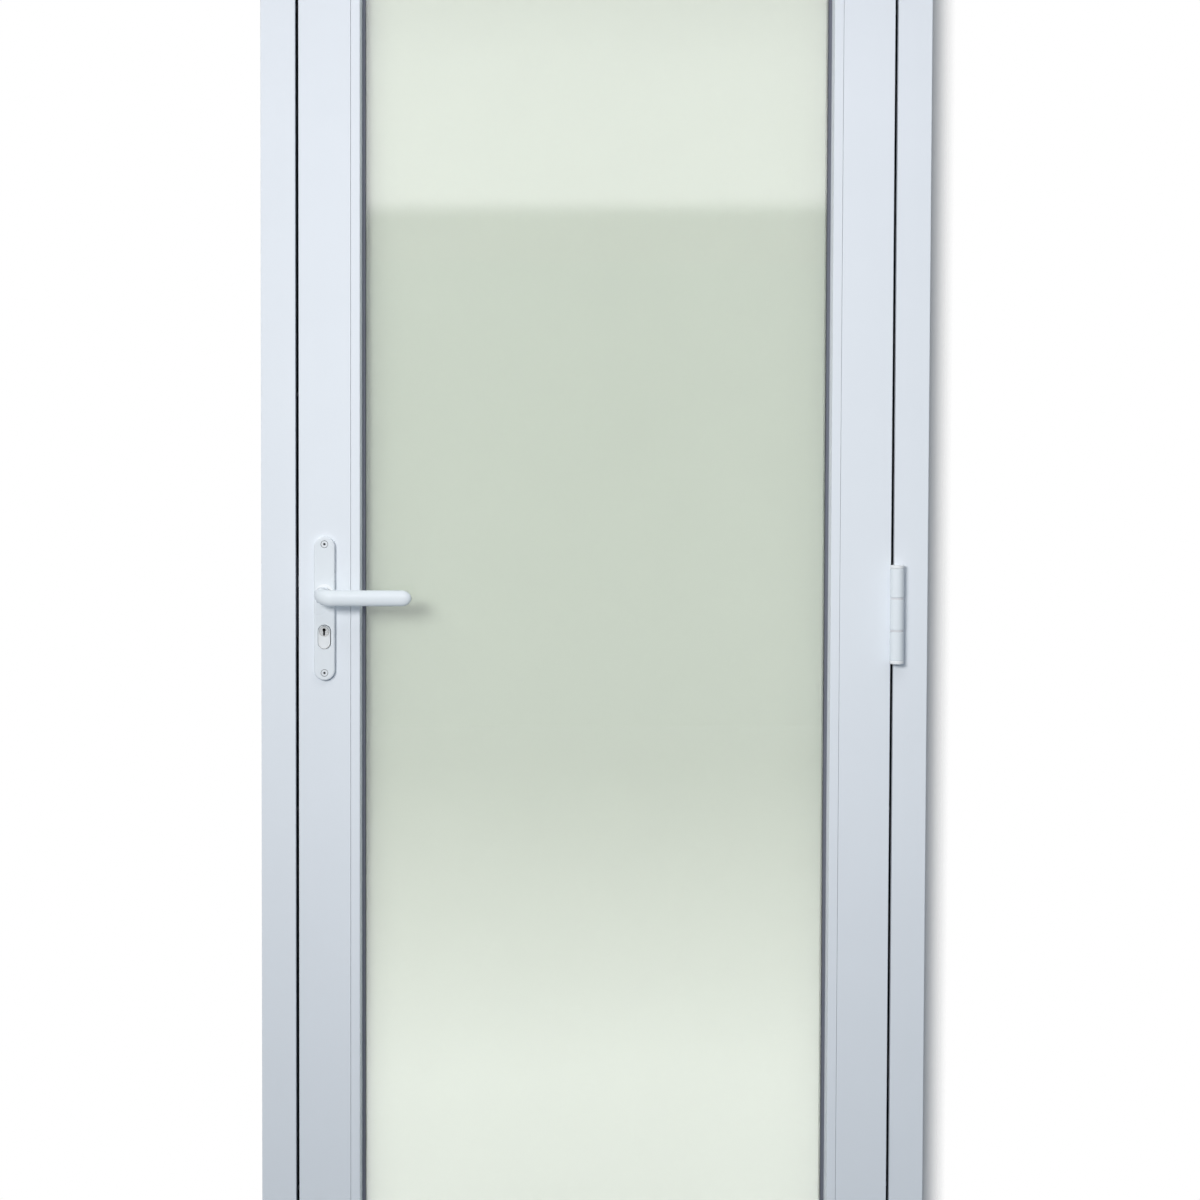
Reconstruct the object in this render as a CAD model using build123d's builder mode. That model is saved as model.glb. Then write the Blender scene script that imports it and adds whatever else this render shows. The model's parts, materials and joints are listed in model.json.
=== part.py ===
from build123d import *
from math import cos, pi, sin
import os

# Whole door
frame_width = 950.0
frame_height = 2200.0
leaf_depth = 50.0
leaf_gap = 4.5
threshold_height = 20.0
threshold_gap = 5.0

# Profile of the jambs and head
frame_face = 48.5
profile_wall = 2.0
seal_space = 3.0
stop_depth = 12.0
stop_overlap = 15.0
stop_front_wall = 5.0
corner_round = 1.0
cleat_wall = 4.0
cleat_clearance = 0.2
cleat_depth = 18.0
frame_cleat_leg = 110.0
leaf_cleat_leg = 130.0
fixing_hole_radius = 4.0
fixing_height_shares = (0.115, 0.365, 0.635, 0.885)

# Seal between frame and leaf
seal_inset = 8.0
seal_groove_width = 4.0
seal_groove_depth = 3.0
seal_clearance = 0.3
seal_side_clearance = 0.2
seal_head_width = 8.0

# Threshold
threshold_wall = 2.5
ramp_run = 13.0
ramp_foot = 6.0
upstand_height = 40.0
tread_pitch = 7.0
tread_width = 2.0
tread_depth = 1.0
tread_count = 5
tread_start = 19.0
threshold_rib_share = 0.5

# Profile of the leaf and its glazing
tube_width = 73.2
glazing_lip_depth = 6.0
glazing_lip_wall = 1.5
bead_joint = 0.4
bead_face = 12.6
bead_nose = 2.5
bead_slope = 8.5
bead_depth = 14.0
bead_wall = 1.5
bead_round = 0.8
bead_ledge = 5.5
bead_foot = 1.2
bead_foot_depth = 1.5
bead_foot_clearance = 0.2
gasket_reveal = 4.5
gasket_thickness = 3.0
gasket_bite = 6.0
gasket_slope = 1.2
pane_thickness = 5.0
pane_cavity = 14.0
pane_edge = 7.5
edge_seal_width = 5.0
spacer_width = 8.0
spacer_wall = 1.0
block_length = 100.0
block_clearance = 0.2
block_offset = 230.0

# Hinges
hinge_inset = 97.0
hinge_axis_in_jamb = 2.5
barrel_radius = 10.0
barrel_clearance = 0.5
frame_knuckle_length = 41.0
leaf_knuckle_length = 43.0
bush_flange = 3.0
bush_flange_radius = 9.6
bush_radius = 6.5
knuckle_play = 0.1
pin_radius = 5.0
pin_fit = 0.03
bush_fit = 0.05
cap_height = 5.0
cap_overhang = 0.3
cap_round = 1.4
knuckle_round = 0.5
wing_thickness = 3.5
wing_depth = 30.0
wing_screw_spacing = 22.0
wing_screw_length = 14.0

# Screws
screw_radius = 2.4
screw_head_radius = 4.6
screw_clearance = 0.1
screw_socket_radius = 1.6
screw_socket_depth = 2.4

# Handle
backset = 37.0
spindle_height = 1115.0
spindle_size = 8.0
spindle_fit = 0.1
spindle_end = 24.0
plate_length = 204.0
plate_width = 29.5
plate_thickness = 8.0
plate_drop = 22.0
plate_round = 2.5
plate_skin = 2.5
plate_screw_spacing = 182.6
boss_radius = 6.2
plate_screw_tip = 2.0
plate_screw_sink = 0.6
plate_screw_ring = 0.6
plate_screw_groove = 1.2
plate_screw_socket_radius = 1.9
bush_bore_fit = 0.05
lever_bush_wall = 1.4
collar_overhang = 2.4
collar_thickness = 2.0
neck_radius = 9.0
neck_root = 1.0
neck_length = 27.0
heel_rise = 8.0
heel_half_length = 11.2
heel_back = 1.2
heel_drop_share = 0.4
lever_drop = 5.0
bend_radius = 15.0
bend_steps = 3
lever_length = 125.0
lever_half_height = 11.25
lever_half_thickness = 7.0
lever_return = 3.0
tip_length = 14.0
tip_steps = 6
tip_turn_share = 0.93
grub_radius = 2.5
grub_distance = 9.0
grub_recess = 0.8
wall_hole_clearance = 3.0

# Lock
case_thickness = 16.0
case_wall = 1.5
case_depth = 54.0
case_above_spindle = 35.0
case_below_cylinder = 36.0
flange_thickness = 3.0
flange_overlap = 8.0
flange_width = 23.0
faceplate_width = 20.0
faceplate_length = 180.0
faceplate_drop = 27.0
faceplate_clearance = 0.1
faceplate_screw_inset = 12.0
lock_screw_length = 5.0
moving_clearance = 0.2
hub_radius = 8.5
trunnion_radius = 7.0
trunnion_fit = 0.05
hub_side_play = 0.5
arm_length = 17.0
arm_width = 4.0
arm_thickness = 5.0
latch_bottom = 7.0
latch_height = 16.0
latch_thickness = 12.0
latch_throw = 11.0
latch_nose = 2.5
latch_head_length = 12.0
latch_tail_thickness = 8.0
latch_tail_rise = 2.5
latch_tail_end = 7.0
latch_notch_push = 3.0
latch_notch_back = 6.2
latch_notch_top = 0.6
deadbolt_bottom = 18.0
deadbolt_height = 24.0
deadbolt_thickness = 10.0
deadbolt_length = 45.0
deadbolt_setback = 0.2
deadbolt_round = 1.0

# Cylinder
cylinder_drop = 54.0
cylinder_width = 17.0
cylinder_tall = 33.0
cylinder_stand_out = 3.5
cylinder_clearance = 0.4
plate_cylinder_clearance = 0.8
cylinder_round = 0.6
plug_radius = 6.9
plug_fit = 0.05
plug_stand_out = 0.5
plug_round = 0.5
cam_thickness = 10.0
cam_play = 0.15
cam_radius = 14.5
cam_width = 8.0
cam_gap = 0.7
keyway_radius = 2.3
keyway_width = 2.6
keyway_depth = 16.0
keyway_rise = 2.2
keyway_drop = 5.7
cylinder_screw_rise = 4.6
cylinder_screw_bite = 3.0

# Strike plate
strike_thickness = 1.5
strike_width = 24.0
strike_margin = 29.0
strike_clearance = 0.6
strike_screw_inset = 9.0
strike_screw_length = 16.0
strike_wall_clearance = 1.0

# Places worked out from the sizes above
face_y = -leaf_depth / 2
back_y = leaf_depth / 2
frame_depth = leaf_depth + seal_space + stop_depth
half_frame = frame_width / 2
jamb_edge = half_frame - frame_face
half_leaf = jamb_edge - leaf_gap
leaf_bottom = threshold_height + threshold_gap
leaf_top = frame_height - frame_face - leaf_gap
leaf_outline = (half_leaf, leaf_bottom, leaf_top)
frame_outline = (half_frame, 0, frame_height)
stop_front = leaf_depth + seal_space
stop_edge = leaf_gap + stop_overlap
bead_start = tube_width + bead_joint
bead_edge = bead_start + bead_face
nose_edge = bead_edge + bead_nose
lip_edge = nose_edge - gasket_slope
glass_front = bead_depth + gasket_thickness
unit_thickness = pane_thickness + pane_cavity + pane_thickness
glass_back = glass_front + unit_thickness
glass_edge = tube_width + pane_edge
hinge_x = jamb_edge + hinge_axis_in_jamb
hinge_y = face_y - barrel_radius - barrel_clearance
fixing_heights = [share * frame_height for share in fixing_height_shares]
hinge_heights = {
    "bottom": leaf_bottom + hinge_inset,
    "middle": (leaf_bottom + leaf_top) / 2,
    "top": leaf_top - hinge_inset,
}
spindle_x = backset - half_leaf
plug_z = spindle_height - cylinder_drop
cylinder_z = plug_z + cylinder_width / 2 - cylinder_tall / 2
plate_z = spindle_height - plate_drop
plate_y = face_y - plate_thickness
head_y = plate_y + plate_screw_sink
plate_screw_zs = (plate_z - plate_screw_spacing / 2, plate_z + plate_screw_spacing / 2)
lever_bush_radius = neck_radius + bush_bore_fit + lever_bush_wall
faceplate_z = spindle_height - faceplate_drop
edge_x = -half_leaf
flange_x = edge_x + profile_wall
case_x = flange_x + flange_thickness
case_end = case_x + case_depth
case_top = spindle_height + case_above_spindle
case_bottom = plug_z - case_below_cylinder
latch_z = spindle_height + latch_bottom + latch_height / 2
deadbolt_z = plug_z + deadbolt_bottom + deadbolt_height / 2
cylinder_screw_z = cylinder_z - cylinder_tall / 2 + cylinder_screw_rise
half_upstand = jamb_edge - stop_edge
seal_z = leaf_bottom + seal_inset
seal_corner = half_leaf - seal_inset + seal_groove_width / 2
seal_groove_y = face_y + stop_front + seal_groove_depth
hub_width = case_thickness - 2 * (case_wall + hub_side_play)


def front_plane(y):
    """A sketch plane that faces the front: X across, Z up, extruded towards -Y."""
    return Plane((0, y, 0), x_dir=(1, 0, 0), z_dir=(0, -1, 0))


def edge_plane(x):
    """A sketch plane seen from the hinge side: Y across, Z up, extruded towards +X."""
    return Plane((x, 0, 0), x_dir=(0, 1, 0), z_dir=(1, 0, 0))


def rect(u0, v0, u1, v1, mode=Mode.ADD):
    """A rectangle by its corners, in the sketch being drawn."""
    with Locations(((u0 + u1) / 2, (v0 + v1) / 2)):
        Rectangle(u1 - u0, v1 - v0, mode=mode)


def round_corners(section, points, radius):
    """Round the corners of the sketch being drawn that lie nearest these points."""
    fillet([section.vertices().sort_by_distance(p)[0] for p in points], radius)


def countersunk(place, radius, head_radius, length, mode=Mode.ADD):
    """A countersunk screw or the hole for one, from its head face along the place's Z."""
    with Locations(place):
        Cylinder(radius, length, align=(Align.CENTER, Align.CENTER, Align.MIN), mode=mode)
        Cone(head_radius, radius, head_radius - radius,
             align=(Align.CENTER, Align.CENTER, Align.MIN), mode=mode)


def screw_set(places, length, socket_radius=screw_socket_radius):
    """Identical countersunk screws with hexagon sockets."""
    with BuildPart() as screws:
        for place in places:
            countersunk(place, screw_radius, screw_head_radius, length)
            with BuildSketch(place):
                RegularPolygon(socket_radius, 6)
            extrude(amount=screw_socket_depth, mode=Mode.SUBTRACT)
    return screws


def screw_hole(place, length):
    countersunk(place, screw_radius + screw_clearance, screw_head_radius + screw_clearance,
                length, Mode.SUBTRACT)


def save(name, piece):
    piece.part.label = name
    export_step(piece.part, f"parts/{name}.step")


def bar(section, side, outline, mitred=("start", "end")):
    """A length of profile along one side of an outline, sawn at 45 degrees at its mitred ends.

    The section's x runs inwards from the outline and its y backwards from the front face."""
    half, bottom, top = outline
    start, inward, along, length = {
        "left": ((-half, face_y, bottom), (1, 0, 0), (0, 0, 1), top - bottom),
        "top": ((-half, face_y, top), (0, 0, -1), (1, 0, 0), 2 * half),
        "right": ((half, face_y, top), (-1, 0, 0), (0, 0, -1), top - bottom),
        "bottom": ((half, face_y, bottom), (0, 0, 1), (-1, 0, 0), 2 * half),
    }[side]
    plane = Plane(start, x_dir=inward, z_dir=along)
    finish = plane.origin + plane.z_dir * length
    with BuildPart() as piece:
        with BuildSketch(plane):
            add(section)
        extrude(amount=length)
        if "start" in mitred:
            split(bisect_by=Plane(plane.origin, z_dir=plane.z_dir - plane.x_dir))
        if "end" in mitred:
            split(bisect_by=Plane(finish, z_dir=-plane.z_dir - plane.x_dir))
    return piece


def ring(section, outline):
    """Four mitred lengths joined into one closed loop."""
    lengths = [bar(section, side, outline).part for side in ("left", "top", "right", "bottom")]
    with BuildPart() as loop:
        for length in lengths:
            add(length)
    return loop


def frame_section():
    groove = frame_face + leaf_gap + seal_inset
    lip = frame_face + stop_edge
    with BuildSketch() as section:
        rect(0, 0, frame_face, frame_depth)
        rect(frame_face, stop_front, lip, frame_depth)
        round_corners(section, [(0, 0), (frame_face, 0), (lip, stop_front), (lip, frame_depth),
                                (0, frame_depth)], corner_round)
        rect(profile_wall, profile_wall, frame_face - profile_wall, frame_depth - profile_wall,
             Mode.SUBTRACT)
        rect(frame_face, stop_front + stop_front_wall, lip - profile_wall,
             frame_depth - profile_wall, Mode.SUBTRACT)
        rect(groove - seal_groove_width / 2, stop_front, groove + seal_groove_width / 2,
             stop_front + seal_groove_depth, Mode.SUBTRACT)
    return section.sketch


def leaf_section():
    lip_front = leaf_depth - glazing_lip_depth
    with BuildSketch() as section:
        rect(0, 0, tube_width, leaf_depth)
        rect(tube_width, lip_front, lip_edge, leaf_depth)
        rect(tube_width, bead_depth, tube_width + bead_ledge, bead_depth + profile_wall)
        round_corners(section, [(0, 0), (0, leaf_depth), (lip_edge, lip_front),
                                (lip_edge, leaf_depth)], corner_round)
        round_corners(section, [(tube_width, 0)], bead_joint)
        rect(profile_wall, profile_wall, tube_width - profile_wall, leaf_depth - profile_wall,
             Mode.SUBTRACT)
        rect(tube_width, lip_front + glazing_lip_wall, lip_edge - profile_wall,
             leaf_depth - glazing_lip_wall, Mode.SUBTRACT)
    return section.sketch


def bead_section():
    foot = tube_width + bead_ledge + bead_foot_clearance
    with BuildSketch() as section:
        Polygon((bead_start, 0), (bead_edge, 0), (nose_edge, bead_slope), (nose_edge, bead_depth),
                (bead_start, bead_depth), align=None)
        round_corners(section, [(bead_edge, 0), (nose_edge, bead_slope)], bead_round)
        round_corners(section, [(bead_start, 0)], bead_joint)
        offset(amount=-bead_wall, mode=Mode.SUBTRACT)
        rect(foot, bead_depth, foot + bead_foot, bead_depth + bead_foot_depth)
    return section.sketch


def gasket_section(bead_side, glass_side):
    """A wedge gasket pressed between a bead or lip and the glass."""
    reveal = nose_edge + gasket_reveal
    with BuildSketch() as section:
        Polygon((nose_edge - gasket_bite, bead_side), (reveal - gasket_slope, bead_side),
                (reveal, (bead_side + glass_side) / 2), (reveal, glass_side),
                (nose_edge - gasket_bite, glass_side), align=None)
    return section.sketch


def seal_section():
    """A bulb seal pushed into the stop's groove, just clear of the leaf's back."""
    stem = seal_groove_width / 2 - seal_side_clearance
    top = leaf_depth + seal_clearance
    with BuildSketch() as section:
        rect(seal_inset - seal_head_width / 2, top, seal_inset + seal_head_width / 2, stop_front)
        round_corners(section, [(seal_inset - seal_head_width / 2, top),
                                (seal_inset + seal_head_width / 2, top)], corner_round)
        rect(seal_inset - stem, stop_front, seal_inset + stem,
             stop_front + seal_groove_depth - seal_side_clearance)
    return section.sketch


def spacer_section():
    start = glass_edge + edge_seal_width
    front = glass_front + pane_thickness
    with BuildSketch() as section:
        rect(start, front, start + spacer_width, front + pane_cavity)
        rect(start + spacer_wall, front + spacer_wall, start + spacer_width - spacer_wall,
             front + pane_cavity - spacer_wall, Mode.SUBTRACT)
    return section.sketch


def edge_seal_section():
    front = glass_front + pane_thickness
    with BuildSketch() as section:
        rect(glass_edge, front, glass_edge + edge_seal_width, front + pane_cavity)
    return section.sketch


def pane(front):
    """One sheet of glass, its front face this far behind the door's face."""
    half, bottom, top = leaf_outline
    with BuildPart() as sheet:
        with BuildSketch(front_plane(face_y + front + pane_thickness)):
            rect(glass_edge - half, bottom + glass_edge, half - glass_edge, top - glass_edge)
        extrude(amount=pane_thickness)
    return sheet


def cleats(outline, tube, leg, depth, corners):
    """Hollow corner blocks inside the tubes, in their back half, clear of the hinge screws."""
    half, bottom, top = outline
    back = face_y + depth - profile_wall - cleat_clearance
    edge = profile_wall + cleat_clearance
    arm = tube - profile_wall - cleat_clearance
    with BuildPart() as blocks:
        for across, up in corners:
            x = across * half
            z = top if up > 0 else bottom
            with BuildSketch(front_plane(back)) as outline_sketch:
                Polygon((x - across * edge, z - up * edge), (x - across * leg, z - up * edge),
                        (x - across * leg, z - up * arm), (x - across * arm, z - up * arm),
                        (x - across * arm, z - up * leg), (x - across * edge, z - up * leg),
                        align=None)
                offset(amount=-cleat_wall, mode=Mode.SUBTRACT)
            extrude(amount=cleat_depth)
    return blocks


def hinge_stack(z):
    """Heights of a hinge's pieces from its middle: leaf knuckle, frame knuckles, caps."""
    leaf_half = leaf_knuckle_length / 2
    inner = leaf_half + bush_flange + knuckle_play
    outer = inner + frame_knuckle_length
    return leaf_half, inner, outer


def wing_screw_places(z, face_x, way):
    """Screw places on a hinge wing, heads at face_x, driven along way in X."""
    middle = face_y + wing_depth / 2
    return [Plane((face_x, middle, z + step * wing_screw_spacing / 2), x_dir=(0, 1, 0),
                  z_dir=(way, 0, 0)) for step in (-1, 1)]


def knuckle(bottom, length, wing_x, screw_face, way, bore):
    """A hinge knuckle with the wing that reaches into the gap beside the leaf."""
    with BuildPart() as piece:
        with BuildSketch(Plane((hinge_x, hinge_y, bottom))):
            Circle(barrel_radius)
        extrude(amount=length)
        chamfer(piece.edges().filter_by(GeomType.CIRCLE), knuckle_round)
        with BuildSketch(Plane((0, 0, bottom))):
            rect(wing_x, hinge_y, wing_x + wing_thickness, face_y + wing_depth)
        extrude(amount=length)
        with BuildSketch(Plane((hinge_x, hinge_y, bottom))):
            Circle(bore)
        extrude(amount=length, mode=Mode.SUBTRACT)
        for place in wing_screw_places(bottom + length / 2, screw_face, way):
            screw_hole(place, wing_screw_length)
    return piece


def frame_screw_places(z):
    leaf_half, inner, outer = hinge_stack(z)
    face = jamb_edge - wing_thickness
    return [place for middle in (z - (inner + outer) / 2, z + (inner + outer) / 2)
            for place in wing_screw_places(middle, face, 1)]


def leaf_screw_places(z):
    return wing_screw_places(z, half_leaf + wing_thickness, -1)


def handle_plate(through):
    """A cast plate with a hollow back; through holes take the screw heads, blind ones their tips."""
    with BuildPart() as plate:
        with BuildSketch(front_plane(face_y)):
            with Locations((spindle_x, plate_z)):
                SlotOverall(plate_length, plate_width, rotation=90)
        extrude(amount=plate_thickness)
        fillet(plate.faces().sort_by(Axis.Y)[0].edges(), plate_round)
        with BuildSketch(front_plane(face_y)):
            with Locations((spindle_x, plate_z)):
                SlotOverall(plate_length - 2 * plate_skin, plate_width - 2 * plate_skin, rotation=90)
            with Locations(*[(spindle_x, z) for z in plate_screw_zs]):
                Circle(boss_radius, mode=Mode.SUBTRACT)
            with Locations((spindle_x, spindle_height)):
                Circle(lever_bush_radius + plate_skin, mode=Mode.SUBTRACT)
            with Locations((spindle_x, cylinder_z)):
                SlotOverall(cylinder_tall + 2 * plate_skin, cylinder_width + 2 * plate_skin,
                            rotation=90, mode=Mode.SUBTRACT)
        extrude(amount=plate_thickness - plate_skin, mode=Mode.SUBTRACT)
        with BuildSketch(front_plane(face_y)):
            with Locations((spindle_x, spindle_height)):
                Circle(lever_bush_radius + bush_bore_fit)
            with Locations((spindle_x, cylinder_z)):
                SlotOverall(cylinder_tall + 2 * plate_cylinder_clearance,
                            cylinder_width + 2 * plate_cylinder_clearance, rotation=90)
        extrude(amount=plate_thickness, mode=Mode.SUBTRACT)
        for z in plate_screw_zs:
            if through:
                screw_hole(Plane((spindle_x, head_y, z), x_dir=(1, 0, 0), z_dir=(0, 1, 0)),
                           plate_thickness)
                with BuildSketch(front_plane(head_y + plate_screw_groove)):
                    with Locations((spindle_x, z)):
                        Circle(screw_head_radius + plate_screw_ring)
                extrude(amount=plate_screw_sink + plate_screw_groove, mode=Mode.SUBTRACT)
            else:
                with BuildSketch(front_plane(face_y)):
                    with Locations((spindle_x, z)):
                        Circle(screw_radius + screw_clearance)
                extrude(amount=plate_thickness - plate_screw_tip, mode=Mode.SUBTRACT)
    return plate


def lever_place(x, y, turn, drop):
    """A plane across the lever's line, where the line has turned this far from straight out."""
    return Plane((spindle_x + x, y, spindle_height - drop), x_dir=(0, 0, 1),
                 z_dir=(sin(turn), -cos(turn), 0))


def lever_runs(neck_end):
    """The heel, bar and tip as lists of sections: place, half height and half thickness."""
    heel = [(lever_place(0, neck_end + heel_rise, 0, 0), neck_radius, neck_radius)]
    for step in range(bend_steps + 1):
        turn = step / bend_steps * pi / 2
        share = sin(turn)
        drop = lever_drop * (heel_drop_share + share * (1 - heel_drop_share))
        heel.append((lever_place(bend_radius * (1 - cos(turn)) - heel_back * (1 - share),
                                 neck_end - bend_radius * share, turn, drop),
                     lever_half_height,
                     heel_half_length + share * (lever_half_thickness - heel_half_length)))
    bar_y = neck_end - bend_radius
    tip_x = lever_length - tip_length
    tip = []
    for step in range(tip_steps + 1):
        turn = step / tip_steps * tip_turn_share * pi / 2
        tip.append((lever_place(tip_x + tip_length * sin(turn), bar_y + lever_return, pi / 2, lever_drop),
                    lever_half_height * cos(turn), lever_half_thickness * cos(turn)))
    return heel, [heel[-1], tip[0]], tip


def lever():
    """The front lever: a round neck, a heel and bend, and a flat oval bar with a rounded tip."""
    root = face_y - neck_root
    with BuildPart() as handle:
        with BuildSketch(front_plane(root)):
            with Locations((spindle_x, spindle_height)):
                Circle(neck_radius)
        extrude(amount=neck_length - heel_rise)
        for run in lever_runs(root - neck_length):
            for place, half_height, half_thickness in run:
                with BuildSketch(place):
                    Ellipse(half_height, half_thickness)
            loft()
        socket = spindle_size + 2 * spindle_fit
        with BuildSketch(front_plane(root)):
            with Locations((spindle_x, spindle_height)):
                Rectangle(socket, socket)
        extrude(amount=spindle_end, mode=Mode.SUBTRACT)
        with Locations((spindle_x, plate_y - grub_distance, spindle_height)):
            Cylinder(grub_radius + spindle_fit, neck_radius, mode=Mode.SUBTRACT,
                     align=(Align.CENTER, Align.CENTER, Align.MAX))
    return handle


def key_plug(front, back, face):
    """A plug from front to back in Y, with the keyhole in its face at front or back."""
    with BuildPart() as plug:
        with BuildSketch(front_plane(back)):
            with Locations((spindle_x, plug_z)):
                Circle(plug_radius)
        extrude(amount=back - front)
        chamfer(plug.faces().sort_by(Axis.Y)[0 if face == "front" else -1].edges(), plug_round)
        start = front + keyway_depth if face == "front" else back
        with BuildSketch(front_plane(start)):
            with Locations((spindle_x, plug_z + keyway_rise)):
                Circle(keyway_radius)
            rect(spindle_x - keyway_width / 2, plug_z - keyway_drop, spindle_x + keyway_width / 2,
                 plug_z + keyway_rise)
        extrude(amount=keyway_depth, mode=Mode.SUBTRACT)
    return plug


os.makedirs("parts", exist_ok=True)

# Frame bars
frame_profile = frame_section()
lock_jamb_bar = bar(frame_profile, "left", frame_outline, ("end",)).part
hinge_jamb_bar = bar(frame_profile, "right", frame_outline, ("start",)).part
frame_head = bar(frame_profile, "top", frame_outline)

# Bolt pockets in the strike plate and the jamb wall behind it, as middle, height and thickness
bolt_pockets = ((latch_z, latch_height, latch_thickness),
                (deadbolt_z, deadbolt_height, deadbolt_thickness))
strike_bottom = deadbolt_z - deadbolt_height / 2 - strike_margin
strike_top = latch_z + latch_height / 2 + strike_margin
strike_screw_zs = (strike_bottom + strike_screw_inset, strike_top - strike_screw_inset)
strike_places = [Plane((strike_thickness - jamb_edge, 0, z), x_dir=(0, 1, 0), z_dir=(-1, 0, 0))
                 for z in strike_screw_zs]

with BuildPart() as jamb_lock_side:
    add(lock_jamb_bar)
    with BuildSketch(edge_plane(-half_frame)):
        with Locations(*[(0, z) for z in fixing_heights]):
            Circle(fixing_hole_radius)
    extrude(amount=frame_face, mode=Mode.SUBTRACT)
    with BuildSketch(edge_plane(-jamb_edge - profile_wall)):
        for middle, tall, thick in bolt_pockets:
            with Locations((0, middle)):
                Rectangle(thick + 2 * strike_wall_clearance, tall + 2 * strike_wall_clearance)
    extrude(amount=profile_wall, mode=Mode.SUBTRACT)
    for place in strike_places:
        screw_hole(place, strike_screw_length)
    with BuildSketch(front_plane(seal_groove_y)):
        rect(-seal_corner, seal_z - seal_groove_width / 2, -half_upstand,
             seal_z + seal_groove_width / 2)
    extrude(amount=seal_groove_depth, mode=Mode.SUBTRACT)

with BuildPart() as jamb_hinge_side:
    add(hinge_jamb_bar)
    with BuildSketch(edge_plane(jamb_edge)):
        with Locations(*[(0, z) for z in fixing_heights]):
            Circle(fixing_hole_radius)
    extrude(amount=frame_face, mode=Mode.SUBTRACT)
    for z in hinge_heights.values():
        for place in frame_screw_places(z):
            screw_hole(place, wing_screw_length)
    with BuildSketch(front_plane(seal_groove_y)):
        rect(half_upstand, seal_z - seal_groove_width / 2, seal_corner,
             seal_z + seal_groove_width / 2)
    extrude(amount=seal_groove_depth, mode=Mode.SUBTRACT)

save("jamb_lock_side", jamb_lock_side)
save("jamb_hinge_side", jamb_hinge_side)
save("frame_head", frame_head)

# Threshold: a ramped tread between the jambs and an upstand between their stops
upstand_front = face_y + stop_front
upstand_back = face_y + frame_depth
tread_floor = threshold_height - tread_depth - threshold_wall
rib = face_y + stop_front * threshold_rib_share
with BuildPart() as threshold:
    with BuildSketch(edge_plane(-jamb_edge)) as tread:
        Polygon((face_y, 0), (upstand_front, 0), (upstand_front, threshold_height),
                (face_y + ramp_run, threshold_height), (face_y, ramp_foot), align=None)
        round_corners(tread, [(face_y, ramp_foot), (face_y + ramp_run, threshold_height)],
                      corner_round)
        for step in range(tread_count):
            groove = face_y + tread_start + step * tread_pitch
            rect(groove - tread_width / 2, threshold_height - tread_depth, groove + tread_width / 2,
                 threshold_height, Mode.SUBTRACT)
        Polygon((face_y + threshold_wall, threshold_wall), (rib - threshold_wall / 2, threshold_wall),
                (rib - threshold_wall / 2, tread_floor), (face_y + ramp_run, tread_floor),
                (face_y + threshold_wall, ramp_foot), align=None, mode=Mode.SUBTRACT)
        rect(rib + threshold_wall / 2, threshold_wall, upstand_front - threshold_wall, tread_floor,
             Mode.SUBTRACT)
    extrude(amount=2 * jamb_edge)
    with BuildSketch(edge_plane(-half_upstand)) as upstand:
        rect(upstand_front, 0, upstand_back, upstand_height)
        round_corners(upstand, [(upstand_front, upstand_height), (upstand_back, upstand_height)],
                      corner_round)
        rect(upstand_front + stop_front_wall, threshold_wall, upstand_back - profile_wall,
             upstand_height - profile_wall, Mode.SUBTRACT)
        rect(upstand_front, seal_z - seal_groove_width / 2, upstand_front + seal_groove_depth,
             seal_z + seal_groove_width / 2, Mode.SUBTRACT)
    extrude(amount=2 * half_upstand)
save("threshold", threshold)

save("frame_seal", ring(seal_section(), leaf_outline))
save("frame_corner_cleats", cleats(frame_outline, frame_face, frame_cleat_leg, frame_depth,
                                   ((-1, 1), (1, 1))))

# Strike plate
with BuildPart() as strike_plate:
    with BuildSketch(edge_plane(-jamb_edge)) as strike_outline:
        rect(-strike_width / 2, strike_bottom, strike_width / 2, strike_top)
        fillet(strike_outline.vertices(), corner_round)
        for middle, tall, thick in bolt_pockets:
            with Locations((0, middle)):
                Rectangle(thick + 2 * strike_clearance, tall + 2 * strike_clearance,
                          mode=Mode.SUBTRACT)
    extrude(amount=strike_thickness)
    for place in strike_places:
        screw_hole(place, strike_screw_length)
save("strike_plate", strike_plate)
save("strike_screws", screw_set(strike_places, strike_screw_length))

# Leaf bars
leaf_profile = leaf_section()
lock_stile_bar = bar(leaf_profile, "left", leaf_outline).part
hinge_stile_bar = bar(leaf_profile, "right", leaf_outline).part

with BuildPart() as stile_lock_side:
    add(lock_stile_bar)
    with BuildSketch(edge_plane(edge_x)):
        with Locations((0, faceplate_z)):
            Rectangle(faceplate_width + 2 * faceplate_clearance,
                      faceplate_length + 2 * faceplate_clearance)
    extrude(amount=profile_wall, mode=Mode.SUBTRACT)
    with BuildSketch(front_plane(back_y)):
        with Locations((spindle_x, spindle_height)):
            Circle(neck_radius + wall_hole_clearance)
        with Locations((spindle_x, cylinder_z)):
            SlotOverall(cylinder_tall + 2 * cylinder_clearance,
                        cylinder_width + 2 * cylinder_clearance, rotation=90)
        with Locations(*[(spindle_x, z) for z in plate_screw_zs]):
            Circle(screw_radius + cylinder_clearance)
    extrude(amount=leaf_depth, mode=Mode.SUBTRACT)

with BuildPart() as stile_hinge_side:
    add(hinge_stile_bar)
    for z in hinge_heights.values():
        for place in leaf_screw_places(z):
            screw_hole(place, wing_screw_length)

save("stile_lock_side", stile_lock_side)
save("stile_hinge_side", stile_hinge_side)
save("rail_top", bar(leaf_profile, "top", leaf_outline))
save("rail_bottom", bar(leaf_profile, "bottom", leaf_outline))
save("leaf_corner_cleats", cleats(leaf_outline, tube_width, leaf_cleat_leg, leaf_depth,
                                  ((-1, 1), (1, 1), (-1, -1), (1, -1))))

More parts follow.
